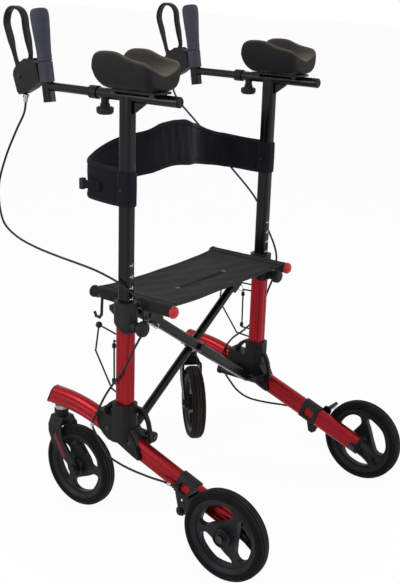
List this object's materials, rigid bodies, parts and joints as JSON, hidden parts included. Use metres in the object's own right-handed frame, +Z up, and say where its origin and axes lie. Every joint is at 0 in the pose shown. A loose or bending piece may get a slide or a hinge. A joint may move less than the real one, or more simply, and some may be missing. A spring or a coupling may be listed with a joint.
{
  "type": "upright walker",
  "caption": "Folding upright walker with forearm troughs, loop brake levers, sling seat, back belt and swivelling front wheels on a red frame.",
  "frame": {"origin": "on the floor, midway between the outermost points of the walker to the left and right, and to the front and rear", "axes": "+Z up, +Y the way the walker travels, +X towards its user's right hand"},
  "size_m": [0.6394, 0.7546, 1.1164],
  "materials": {
    "red_metal": "red satin anodised",
    "black_metal": "satin black",
    "black_plastic": "fine grain",
    "grey_plastic": "fine grain",
    "grip_rubber": "matt",
    "pad_foam": "moulded skin foam",
    "steel": "zinc plated",
    "tyre": "ribbed tread",
    "seat_cloth": "woven nylon",
    "belt_cloth": "padded nylon",
    "cable": "smooth sleeve"
  },
  "bodies": {
    "left_frame": {"left_side_bar": "red_metal", "left_bar_end_caps": "black_plastic", "left_corner_bracket": "black_plastic", "left_upright_tube": "red_metal", "left_clamp_head": "grey_plastic", "left_frame_fasteners": "steel", "left_bag_wire": "black_metal", "left_brake_clip": "grey_plastic", "left_lower_cable": "cable"},
    "left_post_body": {"left_post": "black_metal", "left_arm_tube": "black_metal", "left_arm_collar": "black_plastic", "left_forearm_pad": "pad_foam", "left_pad_bolts": "steel", "backrest_belt": "belt_cloth"},
    "left_handle": {"left_handle_tube": "black_metal", "left_grip": "grip_rubber", "left_lever_housing": "black_plastic", "left_upper_cable": "cable"},
    "left_lever": {"left_brake_lever": "black_plastic"},
    "left_brake": {"left_brake_arm": "black_metal"},
    "left_height_lock": {"left_height_knob": "grey_plastic"},
    "left_reach_lock": {"left_reach_knob": "grey_plastic"},
    "left_rear_wheel": {"left_rear_rim": "grey_plastic", "left_rear_tyre": "tyre"},
    "left_caster": {"left_fork": "black_plastic"},
    "left_front_wheel": {"left_front_rim": "grey_plastic", "left_front_tyre": "tyre"},
    "left_rail": {"left_seat_rail": "black_metal", "seat_sling": "seat_cloth"},
    "right_frame": {"right_side_bar": "red_metal", "right_bar_end_caps": "black_plastic", "right_corner_bracket": "black_plastic", "right_upright_tube": "red_metal", "right_clamp_head": "grey_plastic", "right_frame_fasteners": "steel", "right_bag_wire": "black_metal", "right_brake_clip": "grey_plastic", "right_lower_cable": "cable"},
    "right_post_body": {"right_post": "black_metal", "right_arm_tube": "black_metal", "right_arm_collar": "black_plastic", "right_forearm_pad": "pad_foam", "right_pad_bolts": "steel"},
    "right_handle": {"right_handle_tube": "black_metal", "right_grip": "grip_rubber", "right_lever_housing": "black_plastic", "right_upper_cable": "cable"},
    "right_lever": {"right_brake_lever": "black_plastic"},
    "right_brake": {"right_brake_arm": "black_metal"},
    "right_height_lock": {"right_height_knob": "grey_plastic"},
    "right_reach_lock": {"right_reach_knob": "grey_plastic"},
    "right_rear_wheel": {"right_rear_rim": "grey_plastic", "right_rear_tyre": "tyre"},
    "right_caster": {"right_fork": "black_plastic"},
    "right_front_wheel": {"right_front_rim": "grey_plastic", "right_front_tyre": "tyre"},
    "right_rail": {"right_seat_rail": "black_metal"},
    "brace_a": {"cross_bar_a": "black_metal"},
    "brace_b": {"cross_bar_b": "black_metal"}
  },
  "joints": [
    {"name": "fold", "type": "hinge", "parent": "left_frame", "child": "brace_b", "pos_m": [-0.215, 0.043, 0.212], "axis": [0, -1, 0], "range_deg": [0, 36], "deforming": ["seat_sling", "backrest_belt"]},
    {"name": "cross_bolt", "type": "hinge", "parent": "brace_b", "child": "brace_a", "pos_m": [0, 0.032, 0.355], "axis": [0, -1, 0], "range_deg": [-72, 0]},
    {"name": "right_frame_pivot", "type": "hinge", "parent": "brace_a", "child": "right_frame", "pos_m": [0.215, 0.043, 0.212], "axis": [0, -1, 0], "range_deg": [0, 36]},
    {"name": "right_rail_pivot", "type": "hinge", "parent": "brace_b", "child": "right_rail", "pos_m": [0.196, 0.0425, 0.48536], "axis": [0, -1, 0], "range_deg": [-36, 0]},
    {"name": "left_rail_pivot", "type": "hinge", "parent": "brace_a", "child": "left_rail", "pos_m": [-0.196, 0.023, 0.48536], "axis": [0, -1, 0], "range_deg": [0, 36]},
    {"name": "left_height", "type": "slide", "parent": "left_frame", "child": "left_post_body", "axis": [0, 0, 1], "range_m": [-0.1, 0.1], "deforming": ["left_lower_cable"]},
    {"name": "left_reach", "type": "slide", "parent": "left_post_body", "child": "left_handle", "axis": [0, 1, 0], "range_m": [-0.06, 0.06], "deforming": ["left_upper_cable"]},
    {"name": "left_brake_squeeze", "type": "hinge", "parent": "left_handle", "child": "left_lever", "pos_m": [-0.259, 0.322, 0.972], "axis": [1, 0, 0], "range_deg": [0, 8], "stiffness_Nm_per_rad": 12},
    {"name": "left_brake_press", "type": "hinge", "parent": "left_frame", "child": "left_brake", "pos_m": [-0.277, -0.146, 0.09955], "axis": [1, 0, 0], "range_deg": [0, 3.2]},
    {"name": "left_height_knob_turn", "type": "hinge", "parent": "left_frame", "child": "left_height_lock", "pos_m": [-0.262, -0.02, 0.479], "axis": [0, 1, 0], "continuous": true},
    {"name": "left_reach_knob_turn", "type": "hinge", "parent": "left_post_body", "child": "left_reach_lock", "pos_m": [-0.259, 0.087, 0.935], "axis": [0, 0, 1], "continuous": true},
    {"name": "left_rear_roll", "type": "hinge", "parent": "left_frame", "child": "left_rear_wheel", "pos_m": [-0.294, -0.277, 0.1], "axis": [1, 0, 0], "continuous": true},
    {"name": "left_swivel", "type": "hinge", "parent": "left_frame", "child": "left_caster", "pos_m": [-0.25, 0.228, 0.23], "axis": [0, 0, 1], "continuous": true},
    {"name": "left_front_roll", "type": "hinge", "parent": "left_caster", "child": "left_front_wheel", "pos_m": [-0.25106, 0.16701, 0.097], "axis": [0.9998, -0.0175, 0], "continuous": true},
    {"name": "right_height", "type": "slide", "parent": "right_frame", "child": "right_post_body", "axis": [0, 0, 1], "range_m": [-0.1, 0.1], "deforming": ["right_lower_cable"]},
    {"name": "right_reach", "type": "slide", "parent": "right_post_body", "child": "right_handle", "axis": [0, 1, 0], "range_m": [-0.06, 0.06], "deforming": ["right_upper_cable"]},
    {"name": "right_brake_squeeze", "type": "hinge", "parent": "right_handle", "child": "right_lever", "pos_m": [0.259, 0.322, 0.972], "axis": [1, 0, 0], "range_deg": [0, 8], "stiffness_Nm_per_rad": 12},
    {"name": "right_brake_press", "type": "hinge", "parent": "right_frame", "child": "right_brake", "pos_m": [0.277, -0.146, 0.09955], "axis": [1, 0, 0], "range_deg": [0, 3.2]},
    {"name": "right_height_knob_turn", "type": "hinge", "parent": "right_frame", "child": "right_height_lock", "pos_m": [0.262, -0.02, 0.479], "axis": [0, 1, 0], "continuous": true},
    {"name": "right_reach_knob_turn", "type": "hinge", "parent": "right_post_body", "child": "right_reach_lock", "pos_m": [0.259, 0.087, 0.935], "axis": [0, 0, 1], "continuous": true},
    {"name": "right_rear_roll", "type": "hinge", "parent": "right_frame", "child": "right_rear_wheel", "pos_m": [0.294, -0.277, 0.1], "axis": [1, 0, 0], "continuous": true},
    {"name": "right_swivel", "type": "hinge", "parent": "right_frame", "child": "right_caster", "pos_m": [0.25, 0.228, 0.23], "axis": [0, 0, 1], "continuous": true},
    {"name": "right_front_roll", "type": "hinge", "parent": "right_caster", "child": "right_front_wheel", "pos_m": [0.2084, 0.18339, 0.097], "axis": [0.7314, -0.682, 0], "continuous": true}
  ],
  "couplings": [
    {"joint": "cross_bolt", "follows": "fold", "ratio": -2},
    {"joint": "right_frame_pivot", "follows": "fold", "ratio": 1},
    {"joint": "right_rail_pivot", "follows": "fold", "ratio": -1},
    {"joint": "left_rail_pivot", "follows": "fold", "ratio": 1},
    {"joint": "left_brake_press", "follows": "left_brake_squeeze", "ratio": 0.4},
    {"joint": "right_brake_press", "follows": "right_brake_squeeze", "ratio": 0.4},
    {"joint": "right_height", "follows": "left_height", "ratio": 1}
  ]
}
